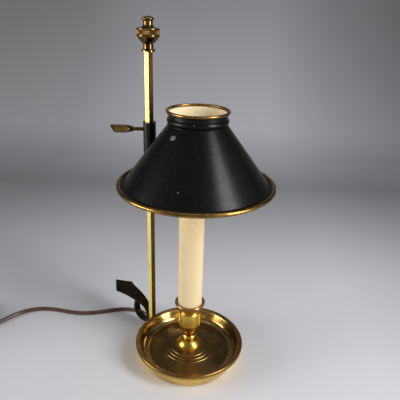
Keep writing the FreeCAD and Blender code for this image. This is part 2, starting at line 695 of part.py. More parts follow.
sleeve_hole = cylinder("sleeve_hole", "sleeve_radius", "sleeve_length", x=POST_X, z=f"{SLEEVE_TOP} - sleeve_length")
shade_cone = cut("shade_cone", shade_sheet, sleeve_hole)


def ring(name, radius, wire, z):
    item = doc.addObject("Part::Torus", name)
    item.setExpression("Radius1", bound(radius))
    item.setExpression("Radius2", bound(wire))
    return move(item, "shade_offset", "shade_drift", z)


# Brass rings soldered to the shade: round wire above, grooved rim below
ring("top_ring", "neck_radius + 1.25", "ring_wire", "shade_top + ring_wire")
cut("bottom_rim", ring("rim_wire_ring", f"{BRIM_RADIUS} + 0.1", "rim_wire", f"{BRIM_HEIGHT} - 0.05"), shade_cone)

# Sleeve soldered through the cone, with a square bore for the post and a hole for the key
sleeve_bore = block("sleeve_bore", "post_side + 2 * sleeve_fit", "post_side + 2 * sleeve_fit", "sleeve_length",
                    x=POST_X, z=f"{SLEEVE_TOP} - sleeve_length")
sleeve_tube = cylinder("sleeve_tube", "sleeve_radius", "sleeve_length", x=POST_X, z=f"{SLEEVE_TOP} - sleeve_length")
key_hole = cylinder("key_hole", "key_thread + key_fit", "2 * sleeve_radius")
aim(key_hole, KEY_ANGLE, x=POST_X, z=KEY_HEIGHT)
cut("sleeve", sleeve_tube, join("sleeve_holes", [sleeve_bore, key_hole]))

# Brass pad with a V that bears on the post's corner
POST_CORNER = "(post_side / 2 * sqrt(2))"
PAD_END = f"({POST_CORNER} + pad_length)"
pad_blank = cylinder("pad_blank", "key_thread", f"{PAD_END} - 2")
aim(pad_blank, KEY_ANGLE, "2", x=POST_X, z=KEY_HEIGHT)
pad_notch = block("pad_notch", "post_side + 2 * key_fit", "post_side + 2 * key_fit", "4 * key_thread",
                  x=POST_X, z=f"{KEY_HEIGHT} - 2 * key_thread")
cut("clamp_pad", pad_blank, pad_notch)

# Thumb key: threaded shank, swollen shoulder and a thin leaf with a slanted end
KEY_START = f"({PAD_END} + key_fit)"
SWELL_START = "(sleeve_radius + key_neck_length)"
key_turning = turned("key_turning", [
    ("0", KEY_START),
    ("key_thread", KEY_START),
    ("key_thread", "sleeve_radius + 1.2"),
    ("key_neck", "sleeve_radius + 1.8"),
    ("key_neck", f"{SWELL_START} - 1"),
    ("2.9", f"{SWELL_START} + 1.4", "-3"),
    ("2.6", f"{SWELL_START} + 4.6", "6"),
    ("0.5", f"{SWELL_START} + 6.8", "4"),
    ("0", f"{SWELL_START} + 6.8"),
])
aim(key_turning, KEY_ANGLE, x=POST_X, z=KEY_HEIGHT)
LEAF_START = "(key_reach - key_leaf_length)"
key_leaf = doc.addObject("PartDesign::Body", "key_leaf")
leaf_profile = outline(key_leaf, "key_leaf_profile", "XZ_Plane", [
    ("-2.4", LEAF_START, "9"),
    ("2.4", LEAF_START),
    ("key_leaf_width / 2", f"{LEAF_START} + 6", "9"),
    ("key_leaf_width / 2", "key_reach - 4.8"),
    ("key_leaf_width / 2 - 1.2", "key_reach - 3.8"),
    ("1.2 - key_leaf_width / 2", "key_reach"),
    ("-key_leaf_width / 2", "key_reach - 1.2"),
    ("-key_leaf_width / 2", f"{LEAF_START} + 6"),
])
leaf_pad = key_leaf.newObject("PartDesign::Pad", "key_leaf_thickness")
leaf_pad.Profile = leaf_profile
leaf_pad.SideType = "Symmetric"
leaf_pad.setExpression("Length", bound("key_leaf_gauge"))
key_leaf.Tip = leaf_pad
aim(key_leaf, KEY_ANGLE, x=POST_X, z=KEY_HEIGHT, spin=number("key_leaf_tilt"))
join("thumb_key", [key_turning, key_leaf])


def rounded(points, largest=1e6):
    """Straight runs joined by tangent arcs. Returns the edges and the radii of the arcs."""
    edges, radii = [], []
    start = points[0]
    for before, corner, after in zip(points, points[1:], points[2:]):
        way_in = (corner - before).normalize()
        way_out = (after - corner).normalize()
        half_turn = way_in.getAngle(way_out) / 2
        shorter = min((corner - before).Length, (after - corner).Length)
        radius = min(0.45 * shorter / math.tan(half_turn), largest)
        setback = radius * math.tan(half_turn)
        first = corner - way_in * setback
        last = corner + way_out * setback
        inward = (way_out - way_in).normalize()
        middle = corner + inward * (radius / math.cos(half_turn) - radius)
        edges += [Part.LineSegment(start, first).toShape(), Part.Arc(first, middle, last).toShape()]
        radii.append(radius)
        start = last
    edges.append(Part.LineSegment(start, points[-1]).toShape())
    return edges, radii


def swept(name, edges, radius):
    """Round tube along the edges, with its section square to the first of them."""
    path = Part.Wire(edges)
    start = edges[0].valueAt(edges[0].FirstParameter)
    way = edges[0].tangentAt(edges[0].FirstParameter)
    section = Part.Wire(Part.makeCircle(radius, start, way))
    shell = Part.BRepOffsetAPI.MakePipeShell(path)
    shell.add(section)
    shell.build()
    shell.makeSolid()
    solid = shell.shape()
    expected = math.pi * radius**2 * path.Length
    print(f"{name}: length {path.Length:.1f} mm, volume {solid.Volume / expected:.4f} of section times length")
    return shape_of(name, solid)


# Cord: through the bush in the dish's wall, across the table and away to the coil
CORD_RADIUS = number("cord_diameter / 2")
TABLE = number("cord_diameter / 2 + cord_lift")
COIL_LOOSE = number("coil_mean_radius + coil_turns_in / 2 * coil_step")
bush_way = Vector(math.cos(math.radians(number(BUSH_ANGLE))), math.sin(math.radians(number(BUSH_ANGLE))), 0)
bush_side = Vector(-bush_way.y, bush_way.x, 0)
bush_level = Vector(0, 0, number("bush_height"))
cord_start = bush_way * number(f"{FOOT_RADIUS} - 1.5") + bush_level
cord_bend = bush_way * number(f"{FOOT_RADIUS} - 1 + bush_length + 8") + bush_level
CORD_ROUTE = [
    (-85.0, 12.4), (-96.5, 11.8), (-107.4, 7.5), (-118.4, -1.2), (-125.8, -10.6), (-131.6, -20.6), (-139.8, -34.0),
    (-152.2, -47.8),
    (-167.5, -57.0), (-182.6, -65.6), (-195.4, -76.4), (-203.4, -89.4), (-206.7, -103.0), (-206.8, -117.0),
    (-205.9, -131.0), (-205.5, -147.0), (-205.5, -165.0),
]
coil_start = Vector(CORD_ROUTE[-1][0], CORD_ROUTE[-1][1], TABLE)
cord_points = [cord_start, cord_bend] + [Vector(x, y, TABLE) for x, y in CORD_ROUTE[:-2]]
cord_points.append(Vector(CORD_ROUTE[-1][0], CORD_ROUTE[-2][1], TABLE))
cord_edges, cord_radii = rounded(cord_points)
swept("cord", cord_edges, CORD_RADIUS)
print("Cord bends, mm:", " ".join(f"{radius:.0f}" for radius in cord_radii))


def joined_arcs(start, start_way, end, end_way):
    """Two arcs that leave start along its way and reach end along its way."""
    across = end - start
    ways = start_way + end_way
    square = 2 * (1 - start_way.dot(end_way))
    if square < 1e-9:
        reach = across.dot(across) / (4 * across.dot(end_way))
    else:
        reach = (-across.dot(ways) + math.sqrt(across.dot(ways)**2 + square * across.dot(across))) / square
    meeting = (start + start_way * reach + end - end_way * reach) * 0.5
    arcs = []
    for first, last, way in ((start, meeting, start_way), (meeting, end, None)):
        chord = last - first
        along = chord * (1 / chord.Length)
        if way is None:
            way = (end - end_way * reach - meeting).normalize()
        angle = way.getAngle(along)
        if angle < 1e-6:
            arcs.append(Part.LineSegment(first, last).toShape())
            continue
        outward = (way - along * math.cos(angle)) * (1 / math.sin(angle))
        middle = (first + last) * 0.5 + outward * (chord.Length / 2 * math.tan(angle / 2))
        arcs.append(Part.Arc(first, middle, last).toShape())
    return arcs


# Spare cord, put away as a flat coil of two layers: in along the table, out on top
coil_centre = coil_start - Vector(COIL_LOOSE, 0, 0)
turns_in = number("coil_turns_in")
turns_out = number("coil_turns_out")
step = number("coil_step")
coil_inner = COIL_LOOSE - turns_in * step


def coil_place(turns):
    """Point and way of the coil's centre line after a number of turns, clockwise from its +X side."""
    past = turns - turns_in
    if past <= 0:
        radius, growth, lift, climb = COIL_LOOSE - turns * step, -step, 0.0, 0.0
    elif past < 0.5:
        radius = coil_inner - step * min(past, 0.5 - past)
        growth = 0.0 if abs(past - 0.25) < 1e-6 else step * (1 if past > 0.25 else -1)
        lift = number("coil_layer") * past * 2
        climb = number("coil_layer") * 2
    else:
        radius, growth = coil_inner + (past - 0.5) * step, step
        lift, climb = number("coil_layer"), 0.0
    if abs(past) < 1e-6 or abs(past - 0.5) < 1e-6:
        climb = number("coil_layer") * 0.35
    if turns == 0:
        growth = 0.0
    angle = -2 * math.pi * turns
    outward = Vector(math.cos(angle), math.sin(angle), 0)
    forward = Vector(math.sin(angle), -math.cos(angle), 0)
    way = forward * (2 * math.pi * radius) + outward * growth + Vector(0, 0, climb)
    return coil_centre + outward * radius + Vector(0, 0, lift), way.normalize()


coil_edges = [Part.LineSegment(cord_points[-1], coil_start).toShape()]
quarters = int(round((turns_in + 0.5 + turns_out) * 4))
places = [coil_place(quarter / 4) for quarter in range(quarters + 1)]
last_way = Vector(round(places[-1][1].x), round(places[-1][1].y), 0)
places[-1] = (places[-1][0], last_way)
for (start, start_way), (end, end_way) in zip(places, places[1:]):
    coil_edges += joined_arcs(start, start_way, end, end_way)
coil_exit = places[-1][0]
PLUG_LEVEL = number("plug_thickness / 2")
tail_start = Vector(coil_exit.x, coil_exit.y, PLUG_LEVEL) + last_way * 22
plug_back = tail_start + last_way * number("relief_length + 4")
coil_edges += joined_arcs(coil_exit, last_way, tail_start, last_way)
coil_edges.append(Part.LineSegment(tail_start, plug_back).toShape())
swept("cord_coil", coil_edges, CORD_RADIUS)

trace = []
for edge in coil_edges:
    count = max(2, int(edge.Length / 1.5))
    trace += [edge.valueAt(edge.FirstParameter + (edge.LastParameter - edge.FirstParameter) * n / count)
              for n in range(count)]
nearest = min((first - second).Length for n, first in enumerate(trace) for second in trace[n + 14:])
print(f"Coil: least gap between turns {nearest - 2 * CORD_RADIUS:.2f} mm")

# Rubber bush through the wall of the dish
bush_rubber = turned("bush_rubber", [
    ("bush_inner", "0"),
    ("bush_radius", "0"),
    ("bush_radius", "7"),
    ("bush_radius - 0.3", "9"),
    ("bush_tip", "bush_length"),
    ("bush_inner", "bush_length"),
])
bush = aim(bush_rubber, BUSH_ANGLE, f"{FOOT_RADIUS} - 1", z="bush_height")

# Two cores from the cord's end, through the slot and up the hollow rod to the holder
core_solids = []
for side in (-1, 1):
    aside = bush_side * (side * number("wire_pitch / 2"))
    corners = [cord_start + aside,
               bush_way * number(f"{FOOT_RADIUS} - 11") + aside + Vector(0, 0, number("rod_bottom - 2")),
               aside + Vector(0, 0, number("rod_bottom - 2")),
               aside + Vector(0, 0, number(HOLDER_BASE))]
    core_edges, core_radii = rounded(corners, largest=5.0)
    core_solids.append(swept(f"core_{'left' if side < 0 else 'right'}", core_edges, number("wire_radius")))
group("inner_wires", core_solids)

# Slim two-pin plug with a tapered strain relief
plug_body = doc.addObject("PartDesign::Body", "plug_moulding")
plug_profile = outline(plug_body, "plug_profile", "XY_Plane", [
    ("0", "-plug_nose / 2"),
    ("plug_length - 7", "-plug_width / 2", "34"),
    ("plug_length", "-plug_width / 2"),
    ("plug_length", "plug_width / 2"),
    ("plug_length - 7", "plug_width / 2"),
    ("0", "plug_nose / 2", "34"),
])
plug_pad = plug_body.newObject("PartDesign::Pad", "plug_thickness_pad")
plug_pad.Profile = plug_profile
plug_pad.SideType = "Symmetric"
plug_pad.setExpression("Length", bound("plug_thickness"))
plug_body.Tip = plug_pad
plug_turn = Rotation(Vector(0, 0, 1), math.degrees(math.atan2(last_way.y, last_way.x)))
plug_body.Placement = Placement(plug_back, plug_turn)
pins = []
for side in (-1, 1):
    pin = cylinder(f"pin_{'left' if side < 0 else 'right'}", "pin_radius", "pin_length")
    pin_foot = Vector(number("plug_length"), side * number("pin_spacing / 2"), 0)
    pin.setExpression("Placement.Base.x", None)
    pin.setExpression("Placement.Base.y", None)
    pin.setExpression("Placement.Base.z", None)
    pin.Placement = Placement(plug_back, plug_turn) * Placement(pin_foot, Rotation(Vector(0, 1, 0), 90))
    pins.append(pin)
group("plug_pins", pins)
relief_rubber = turned("relief_rubber", [
    ("cord_diameter / 2 + cord_lift", "0"),
    ("relief_radius", "0"),
    ("relief_tip", "relief_length"),
    ("cord_diameter / 2 + cord_lift", "relief_length"),
])
relief_rubber.Placement = Placement(plug_back, plug_turn * Rotation(Vector(0, 1, 0), -90))

doc.recompute()

NODES = {
    "dish": "dish", "felt_pad": "felt_pad", "base_weight": "base_weight", "threaded_rod": "threaded_rod",
    "base_nut": "base_nut", "base_washer": "base_washer", "stem_foot": "stem_foot", "stem_bead": "stem_bead",
    "candle_cup": "candle_cup", "drip_collar": "drip_collar", "collar_nut": "collar_nut",
    "candle_tube": "candle_tube", "holder_bracket": "holder_bracket", "bracket_nut": "bracket_nut",
    "holder_body": "holder_body", "holder_shell": "holder_shell", "holder_contact": "holder_contact",
    "bulb_tip": "bulb_tip", "bulb_insulator": "bulb_insulator", "bulb_cap": "bulb_cap",
    "bulb_glass": "bulb_glass", "bulb_mount": "bulb_mount", "square_post": "square_post",
    "post_lug": "post_lug", "post_screw": "post_screw", "finial": "finial", "finial_stud": "finial_stud",
    "handle": "handle", "shade_cone": "shade_cone", "top_ring": "top_ring", "bottom_rim": "bottom_rim",
    "sleeve": "sleeve", "clamp_pad": "clamp_pad", "thumb_key": "thumb_key", "cord": "cord",
    "cord_coil": "cord_coil", "cord_bush": "bush_rubber", "inner_wires": "inner_wires",
    "plug_body": "plug_moulding", "plug_pins": "plug_pins", "plug_relief": "relief_rubber",
}

for item in doc.Objects:
    if {"Invalid", "Error"} & set(item.State):
        raise RuntimeError(f"{item.Name} did not compute: {item.State}")
os.makedirs("parts", exist_ok=True)
for node, source in NODES.items():
    shape = doc.getObject(source).Shape
    if shape.isNull() or not shape.isValid():
        raise RuntimeError(f"{node} is not a valid shape")
    shape.exportStep(f"parts/{node}.step")
    box = shape.BoundBox
    print(f"{node}: {len(shape.Solids)} solid, {shape.Volume:.0f} mm3, "
          f"x {box.XMin:.1f} {box.XMax:.1f}, y {box.YMin:.1f} {box.YMax:.1f}, z {box.ZMin:.1f} {box.ZMax:.1f}")
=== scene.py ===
"""Bouillotte table lamp in brass, with a black cone shade that slides on a square post.

Metres, +Z up, in the frame's own place: the origin is on the candle's axis at table level.
"""
import bmesh
import bpy
import math
from mathutils import Matrix, Vector


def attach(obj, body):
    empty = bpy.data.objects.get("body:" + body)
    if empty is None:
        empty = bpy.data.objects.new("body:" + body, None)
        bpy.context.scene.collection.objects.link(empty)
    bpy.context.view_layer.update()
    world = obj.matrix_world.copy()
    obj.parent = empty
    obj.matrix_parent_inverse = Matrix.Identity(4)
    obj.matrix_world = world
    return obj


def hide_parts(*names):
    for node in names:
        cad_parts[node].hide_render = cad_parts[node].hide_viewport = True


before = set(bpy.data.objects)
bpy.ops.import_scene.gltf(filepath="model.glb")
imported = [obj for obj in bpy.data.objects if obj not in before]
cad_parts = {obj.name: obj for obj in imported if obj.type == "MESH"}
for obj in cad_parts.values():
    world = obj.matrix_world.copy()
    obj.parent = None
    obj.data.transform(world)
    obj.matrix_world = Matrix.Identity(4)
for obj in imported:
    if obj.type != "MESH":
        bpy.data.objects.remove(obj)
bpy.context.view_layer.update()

# Camera: a phone-like lens a little above the shade, off the lamp's front right corner.
# Its right, up and forward directions follow the rims and the post as they are seen.
camera_data = bpy.data.cameras.new("view")
camera_data.sensor_width = 36.0
camera_data.lens = 40.775
camera_data.clip_start = 0.01
camera = bpy.data.objects.new("view", camera_data)
bpy.context.collection.objects.link(camera)
camera_right = Vector((0.73424336, 0.67828553, 0.02855568))
camera_up = Vector((-0.28363902, 0.26828026, 0.92063815))
camera_forward = Vector((-0.61679461, 0.68407196, -0.38937124))
camera.matrix_world = (
    Matrix.Translation((0.28359, -0.30327, 0.37051))
    @ Matrix((camera_right, camera_up, -camera_forward)).transposed().to_4x4()
)
bpy.context.scene.camera = camera

# Table and backdrop: one sheet of pale grey card that rises in a sweep behind the lamp.
# Its grey is painted light and shade: lightest in front, painted shade where it starts to rise,
# and a painted fall-off towards both sides. Each pair is a distance in metres and the painted grey there.
CARD_LIGHT_DEPTHS = [
    (-0.05, 0.67), (0.16, 0.59), (0.40, 0.36), (0.549, 0.265), (0.74, 0.42), (0.95, 0.45), (1.41, 0.24),
]
CARD_LIGHT_SIDES = [
    (-0.60, 0.66), (-0.38, 0.72), (-0.18, 0.94), (0.10, 1.0), (0.22, 1.0), (0.40, 0.74), (0.65, 0.50),
]
CARD_TINT = (0.99, 1.0, 1.075)
SWEEP_START = 0.75
SWEEP_RADIUS = 0.45
SWEEP_TOP = 2.6
away = Vector((-0.6696, 0.7427, 0.0))
aside = Vector((0.7427, 0.6696, 0.0))
up_the_sweep = Vector((0.0, 0.0, 0.55))


def add_object(name, mesh, material=None, smooth=True):
    piece = bpy.data.objects.new(name, mesh)
    bpy.context.collection.objects.link(piece)
    if material:
        mesh.materials.append(material)
    if smooth:
        mesh.polygons.foreach_set("use_smooth", [True] * len(mesh.polygons))
    return piece


def start_material(name):
    """A material with its shader, its tree and the piece's own coordinates."""
    material = bpy.data.materials.new(name)
    material.use_nodes = True
    tree = material.node_tree
    shader = tree.nodes["Principled BSDF"]
    place = tree.nodes.new("ShaderNodeTexCoord")
    return material, tree, shader, place.outputs["Object"]


def ramp(tree, source, stops):
    """Colour ramp fed by source. A stop is (place, colour)."""
    node = tree.nodes.new("ShaderNodeValToRGB")
    tree.links.new(source, node.inputs["Fac"])
    elements = node.color_ramp.elements
    elements[0].position, elements[0].color = stops[0]
    elements[1].position, elements[1].color = stops[-1]
    for position, colour in stops[1:-1]:
        elements.new(position).color = colour
    return node.outputs["Color"]


def multiplied(tree, first, second):
    """Two colours multiplied."""
    node = tree.nodes.new("ShaderNodeMix")
    node.data_type = "RGBA"
    node.blend_type = "MULTIPLY"
    node.inputs["Factor"].default_value = 1.0
    tree.links.new(first, node.inputs["A"])
    tree.links.new(second, node.inputs["B"])
    return node.outputs["Result"]


card, tree, shader, place = start_material("grey_card")
shader.inputs["Roughness"].default_value = 0.75
shader.inputs["Specular IOR Level"].default_value = 0.2


def painted_card_light(direction, stops, tint):
    """Painted light and shade: a grey ramp along a direction of the card. A stop is (metres, grey)."""
    along = tree.nodes.new("ShaderNodeVectorMath")
    along.operation = "DOT_PRODUCT"
    along.inputs[1].default_value = direction
    tree.links.new(place, along.inputs[0])
    span = tree.nodes.new("ShaderNodeMapRange")
    span.inputs["From Min"].default_value = stops[0][0]
    span.inputs["From Max"].default_value = stops[-1][0]
    tree.links.new(along.outputs["Value"], span.inputs["Value"])
    reach = stops[-1][0] - stops[0][0]
    return ramp(tree, span.outputs["Result"], [
        ((metres - stops[0][0]) / reach, (grey * tint[0], grey * tint[1], grey * tint[2], 1.0))
        for metres, grey in stops
    ])


painted_depth_light = painted_card_light(away + up_the_sweep, CARD_LIGHT_DEPTHS, CARD_TINT)
painted_side_falloff = painted_card_light(aside, CARD_LIGHT_SIDES, (1.0, 1.0, 1.0))
tree.links.new(multiplied(tree, painted_depth_light, painted_side_falloff), shader.inputs["Base Color"])

sweep_mesh = bpy.data.meshes.new("card_sweep")
shape = bmesh.new()
profile = [(-2.5, 0.0), (-0.6, 0.0), (0.1, 0.0), (SWEEP_START, 0.0)]
for turn in range(1, 17):
    angle = math.radians(90 * turn / 16)
    profile.append((SWEEP_START + SWEEP_RADIUS * math.sin(angle), SWEEP_RADIUS * (1 - math.cos(angle))))
profile.append((SWEEP_START + SWEEP_RADIUS, SWEEP_TOP))
rows = []
for across in (-3.0, -1.0, 0.0, 1.0, 3.0):
    rows.append([
        shape.verts.new(away * far + aside * across + Vector((0, 0, height)))
        for far, height in profile
    ])
for left, right in zip(rows, rows[1:]):
    for n in range(len(profile) - 1):
        shape.faces.new((left[n], right[n], right[n + 1], left[n + 1]))
shape.to_mesh(sweep_mesh)
shape.free()
sweep = add_object("card_sweep", sweep_mesh, card)

# Light: a square window behind the camera's left, a tall one to its right, a little light
# from above, and a dim room all round.
world = bpy.data.worlds.new("room")
world.use_nodes = True
world.node_tree.nodes["Background"].inputs["Color"].default_value = (0.62, 0.64, 0.70, 1.0)
world.node_tree.nodes["Background"].inputs["Strength"].default_value = 0.30
bpy.context.scene.world = world
bpy.context.scene.view_settings.view_transform = "Standard"


def window(name, centre, target, width, height, power, colour):
    lamp = bpy.data.lights.new(name, "AREA")
    lamp.shape = "RECTANGLE"
    lamp.size = width
    lamp.size_y = height
    lamp.energy = power
    lamp.color = colour
    item = bpy.data.objects.new(name, lamp)
    bpy.context.collection.objects.link(item)
    item.location = centre
    item.rotation_euler = (Vector(target) - Vector(centre)).to_track_quat("-Z", "Y").to_euler()


window("window_left", (-0.80, -1.27, 0.40), (0, 0, 0.10), 0.80, 0.80, 19, (1.0, 0.97, 0.90))
window("window_right", (1.38, 0.27, 0.78), (0, 0, 0.20), 0.50, 1.50, 31, (1.0, 0.99, 0.97))
window("window_above", (-0.15, 0.15, 1.7), (0, 0, 0.0), 1.2, 1.0, 2.5, (1.0, 0.99, 0.97))

# Mains cord: round brown plastic flex. It comes straight out of the bush in the dish's wall, lies
# in one slow bend across the table, and its spare length is put away as a flat coil of two layers.
CORD_DIAMETER = 0.0048
CORD_TABLE = 0.00245
CORD_SETTLED = [
    (-0.04593, 0.00727, 0.0065), (-0.07210, 0.01142, 0.0065), (-0.0850, 0.0124, CORD_TABLE),
    (-0.0965, 0.0118, CORD_TABLE), (-0.1074, 0.0075, CORD_TABLE), (-0.1184, -0.0012, CORD_TABLE),
    (-0.1258, -0.0106, CORD_TABLE), (-0.1316, -0.0206, CORD_TABLE), (-0.1398, -0.0340, CORD_TABLE),
    (-0.1522, -0.0478, CORD_TABLE), (-0.1675, -0.0570, CORD_TABLE), (-0.1826, -0.0656, CORD_TABLE),
    (-0.1954, -0.0764, CORD_TABLE), (-0.2034, -0.0894, CORD_TABLE), (-0.2067, -0.1030, CORD_TABLE),
    (-0.2068, -0.1170, CORD_TABLE), (-0.2059, -0.1310, CORD_TABLE), (-0.2055, -0.1470, CORD_TABLE),
    (-0.2055, -0.1600, CORD_TABLE),
]
COIL_OUTER = 0.0400
COIL_STEP = 0.0056
COIL_LAYER = 0.0055
COIL_TURNS_IN = 4.0
COIL_TURNS = 8.25
COIL_CHORDS = 16
TAIL_REACHES = (0.015, 0.022, 0.042)
PLUG_LEVEL = 0.0068
coil_centre = Vector((-0.2055 - COIL_OUTER, -0.1650, CORD_TABLE))
coil_places = []
inner = COIL_OUTER - COIL_TURNS_IN * COIL_STEP
for chord in range(int(COIL_TURNS * COIL_CHORDS) + 1):
    turns = chord / COIL_CHORDS
    past = turns - COIL_TURNS_IN
    if past <= 0:
        radius = COIL_OUTER - turns * COIL_STEP
    elif past < 0.5:
        radius = inner - COIL_STEP * min(past, 0.5 - past)
    else:
        radius = inner + (past - 0.5) * COIL_STEP
    radius /= math.cos(math.pi / COIL_CHORDS) ** 0.5
    lift = COIL_LAYER * min(max(past * 2, 0.0), 1.0)
    angle = -2 * math.pi * turns
    coil_places.append(coil_centre + Vector((radius * math.cos(angle), radius * math.sin(angle), lift)))
coil_end = coil_places[-1]
tail_places = [Vector((coil_end.x - 0.008, coil_end.y, coil_end.z))]
tail_places += [Vector((coil_end.x - reach, coil_end.y, PLUG_LEVEL)) for reach in TAIL_REACHES]
cord_places = [Vector(point) for point in CORD_SETTLED] + coil_places[1:] + tail_places


def cord_curve(name, places, diameter):
    """One smooth round tube whose control points are the route's own points."""
    curve = bpy.data.curves.new(name, "CURVE")
    curve.dimensions = "3D"
    spline = curve.splines.new("NURBS")
    spline.points.add(len(places) - 1)
    for point, position in zip(spline.points, places):
        point.co = (*position, 1.0)
    spline.order_u = 3
    spline.use_endpoint_u = True
    spline.resolution_u = 8
    curve.bevel_depth = diameter / 2
    curve.bevel_resolution = 5
    curve.use_fill_caps = True
    piece = bpy.data.objects.new(name, curve)
    bpy.context.collection.objects.link(piece)
    return piece


mains_cord = cord_curve("mains_cord", cord_places, CORD_DIAMETER)
flex, tree, shader, place = start_material("brown_flex")


def noise(tree, place, scale, detail=4.0, roughness=0.55):
    """Soft random pattern, scale features to the metre."""
    node = tree.nodes.new("ShaderNodeTexNoise")
    node.inputs["Scale"].default_value = scale
    node.inputs["Detail"].default_value = detail
    node.inputs["Roughness"].default_value = roughness
    tree.links.new(place, node.inputs["Vector"])
    return node.outputs["Fac"]


def grain(tree, shader, source, strength, distance):
    """Fine relief from source, by the shader's normal."""
    bump = tree.nodes.new("ShaderNodeBump")
    bump.inputs["Strength"].default_value = strength
    bump.inputs["Distance"].default_value = distance
    tree.links.new(source, bump.inputs["Height"])
    tree.links.new(bump.outputs["Normal"], shader.inputs["Normal"])


def spread(tree, source, low, high):
    """Maps a 0 to 1 source on to low to high."""
    node = tree.nodes.new("ShaderNodeMapRange")
    node.inputs["From Min"].default_value = 0.3
    node.inputs["From Max"].default_value = 0.7
    node.inputs["To Min"].default_value = low
    node.inputs["To Max"].default_value = high
    tree.links.new(source, node.inputs["Value"])
    return node.outputs["Result"]


def patchy(tree, shader, place, scale, first, second, detail=4.0):
    """Base colour in soft patches between first and second."""
    colours = [(0.3, (*first, 1)), (0.7, (*second, 1))]
    tree.links.new(ramp(tree, noise(tree, place, scale, detail), colours), shader.inputs["Base Color"])


patchy(tree, shader, place, 45.0, (0.070, 0.032, 0.018), (0.110, 0.052, 0.030))
tree.links.new(spread(tree, noise(tree, place, 400.0), 0.16, 0.26), shader.inputs["Roughness"])
grain(tree, shader, noise(tree, place, 900.0), 0.15, 0.0002)
mains_cord.data.materials.append(flex)
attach(mains_cord, "base")
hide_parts("cord", "cord_coil")


def dress(node, material):
    """Gives a frame piece its finish."""
    piece = bpy.data.objects[node]
    if not piece.material_slots:
        piece.data.materials.append(material)
    for slot in piece.material_slots:
        slot.material = material


# Plug and strain relief: brown plastic moulded on to the cord's end, with two round plated pins.
# A rubber bush guards the cord where it leaves the dish, and its two cores go up the hollow rod.
moulded, tree, shader, place = start_material("brown_moulding")
patchy(tree, shader, place, 60.0, (0.105, 0.050, 0.028), (0.150, 0.072, 0.038))
tree.links.new(spread(tree, noise(tree, place, 300.0), 0.30, 0.45), shader.inputs["Roughness"])
grain(tree, shader, noise(tree, place, 1400.0), 0.2, 0.0002)
dress("plug_body", moulded)
rubber, tree, shader, place = start_material("brown_rubber")
patchy(tree, shader, place, 80.0, (0.035, 0.022, 0.016), (0.060, 0.036, 0.024))
shader.inputs["Roughness"].default_value = 0.6
grain(tree, shader, noise(tree, place, 1200.0), 0.25, 0.0002)
dress("plug_relief", rubber)
dress("cord_bush", rubber)
dress("inner_wires", moulded)

# Coil tie: a flat band of brown rubber that holds the spare coil.
# It is stretched round both layers at the coil's +Y side.
tie_mesh = bpy.data.meshes.new("coil_tie")
shape = bmesh.new()
TIE_CENTRE = Vector((coil_centre.x, coil_centre.y + 0.0283, 0.0053))
TIE_HALF_WIDTH = 0.003
TIE_THICKNESS = 0.0006
TIE_HALF_SPAN = 0.0140
TIE_HALF_HEIGHT = 0.0046
TIE_SQUARENESS = 0.35
TIE_SIDES = 32


def squared(value):
    """A sine or cosine pushed out, so that the band runs flat over the coil."""
    return math.copysign(abs(value) ** TIE_SQUARENESS, value)


rows = []
for across in (-TIE_HALF_WIDTH, TIE_HALF_WIDTH):
    for swell in (0.0, TIE_THICKNESS):
        row = []
        for turn in range(TIE_SIDES):
            angle = 2 * math.pi * turn / TIE_SIDES
            out = squared(math.cos(angle)) * (TIE_HALF_SPAN + swell)
            up = squared(math.sin(angle)) * (TIE_HALF_HEIGHT + swell)
            row.append(shape.verts.new(TIE_CENTRE + Vector((across, out, up))))
        rows.append(row)
for first, second in ((0, 1), (1, 3), (3, 2), (2, 0)):
    for n in range(TIE_SIDES):
        m = (n + 1) % TIE_SIDES
        shape.faces.new((rows[first][n], rows[first][m], rows[second][m], rows[second][n]))
bmesh.ops.recalc_face_normals(shape, faces=shape.faces)
shape.to_mesh(tie_mesh)
shape.free()
coil_tie = add_object("coil_tie", tie_mesh, rubber)
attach(coil_tie, "base")


# Dish: cast brass, turned and lacquered. Inside and on its upward faces it is brown, partly lacquer gone
# brown where wax and dust lay and partly painted dark reflection; the foot is brighter from handling, and
# the rim's edge has painted highlight lines.
def brass(name, bright, dull, brown, rough, patch_scale=55.0, cover=(0.35, 0.70), turning=0.5, relief=0.03):
    """Lacquered brass: clean metal, dull film and brown stain in soft patches, fine turning marks."""
    material, tree, shader, place = start_material(name)
    shader.inputs["Metallic"].default_value = 1.0
    film = noise(tree, place, patch_scale, 6.0, 0.62)
    colour = ramp(tree, film, [
        (cover[0], (*bright, 1)), (0.5 * sum(cover), (*dull, 1)), (cover[1], (*brown, 1)),
    ])
    tree.links.new(colour, shader.inputs["Base Color"])
    haze = noise(tree, place, 260.0, 5.0)
    tree.links.new(spread(tree, haze, rough, rough + 0.07), shader.inputs["Roughness"])
    if relief:
        grain(tree, shader, noise(tree, place, 700.0, 3.0), relief, 0.0002)
    if turning:
        shader.inputs["Anisotropic"].default_value = turning
        shader.inputs["Anisotropic Rotation"].default_value = 0.25
        around = tree.nodes.new("ShaderNodeTangent")
        around.direction_type = "RADIAL"
        around.axis = "Z"
        tree.links.new(around.outputs["Tangent"], shader.inputs["Tangent"])
    return material, tree, shader, place, colour


def distance_out(tree, place, scale):
    """Distance from the candle's axis, times scale."""
    level = tree.nodes.new("ShaderNodeVectorMath")
    level.operation = "MULTIPLY"
    level.inputs[1].default_value = (scale, scale, 0.0)
    tree.links.new(place, level.inputs[0])
    length = tree.nodes.new("ShaderNodeVectorMath")
    length.operation = "LENGTH"
    tree.links.new(level.outputs["Vector"], length.inputs[0])
    return length.outputs["Value"]


def height_up(tree, place):
    """Height above the table."""
    split = tree.nodes.new("ShaderNodeSeparateXYZ")
    tree.links.new(place, split.inputs["Vector"])
    return split.outputs["Z"]


